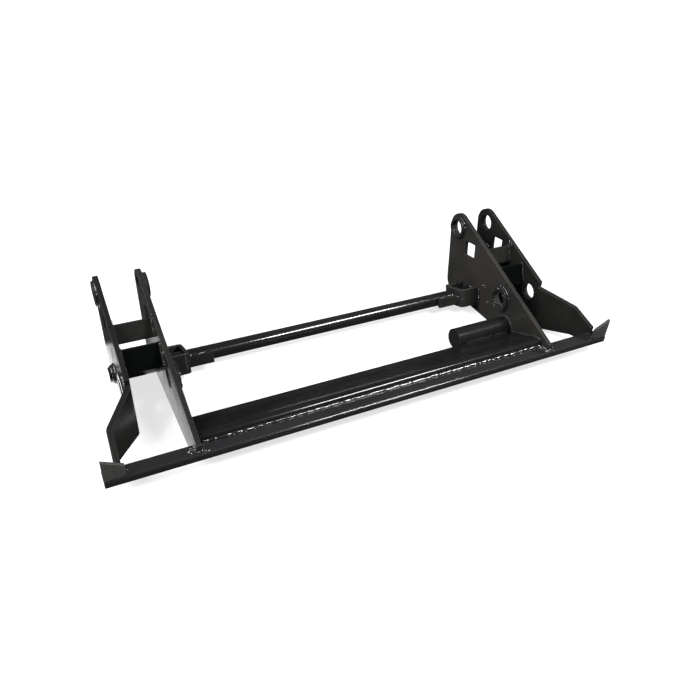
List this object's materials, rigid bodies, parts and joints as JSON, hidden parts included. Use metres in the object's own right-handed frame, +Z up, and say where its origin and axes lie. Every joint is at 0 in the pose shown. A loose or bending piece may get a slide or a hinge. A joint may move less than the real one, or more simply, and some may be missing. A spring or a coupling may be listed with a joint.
{
  "type": "loader adapter frame",
  "caption": "Welded loader adapter frame: paired hook plates with ringed pin holes on a long flat bar, tied by a bent cross member and a round cross shaft.",
  "frame": {"origin": "middle of the footprint, on the floor that the side plates stand on", "axes": "+X to the right along the front bar, +Y from the front bar to the back edge of the plates, +Z up"},
  "size_m": [1.12, 0.422, 0.2102],
  "materials": {
    "plate_paint": "gloss",
    "shaft_paint": "gloss"
  },
  "bodies": {
    "root": {"back_shaft_tab_left": "plate_paint", "back_shaft_tab_right": "plate_paint", "cross_shaft": "shaft_paint", "ear_boss_inner_left": "plate_paint", "ear_boss_inner_right": "plate_paint", "ear_boss_outer_left": "plate_paint", "ear_boss_outer_right": "plate_paint", "end_tab_left": "plate_paint", "end_tab_right": "plate_paint", "front_bar": "plate_paint", "front_shaft_tab_left": "plate_paint", "front_shaft_tab_right": "plate_paint", "inner_plate_left": "plate_paint", "inner_plate_right": "plate_paint", "lower_boss_inner_left": "plate_paint", "lower_boss_inner_right": "plate_paint", "lower_boss_outer_left": "plate_paint", "lower_boss_outer_right": "plate_paint", "lower_tie_plate_left": "plate_paint", "lower_tie_plate_right": "plate_paint", "outer_plate_left": "plate_paint", "outer_plate_right": "plate_paint", "rear_member": "plate_paint", "shaft_bracket_left": "plate_paint", "shaft_bracket_right": "plate_paint", "shaft_collar_left": "shaft_paint", "shaft_collar_right": "shaft_paint", "short_round_bar": "plate_paint", "upper_tie_plate_left": "plate_paint", "upper_tie_plate_right": "plate_paint"}
  },
  "joints": []
}
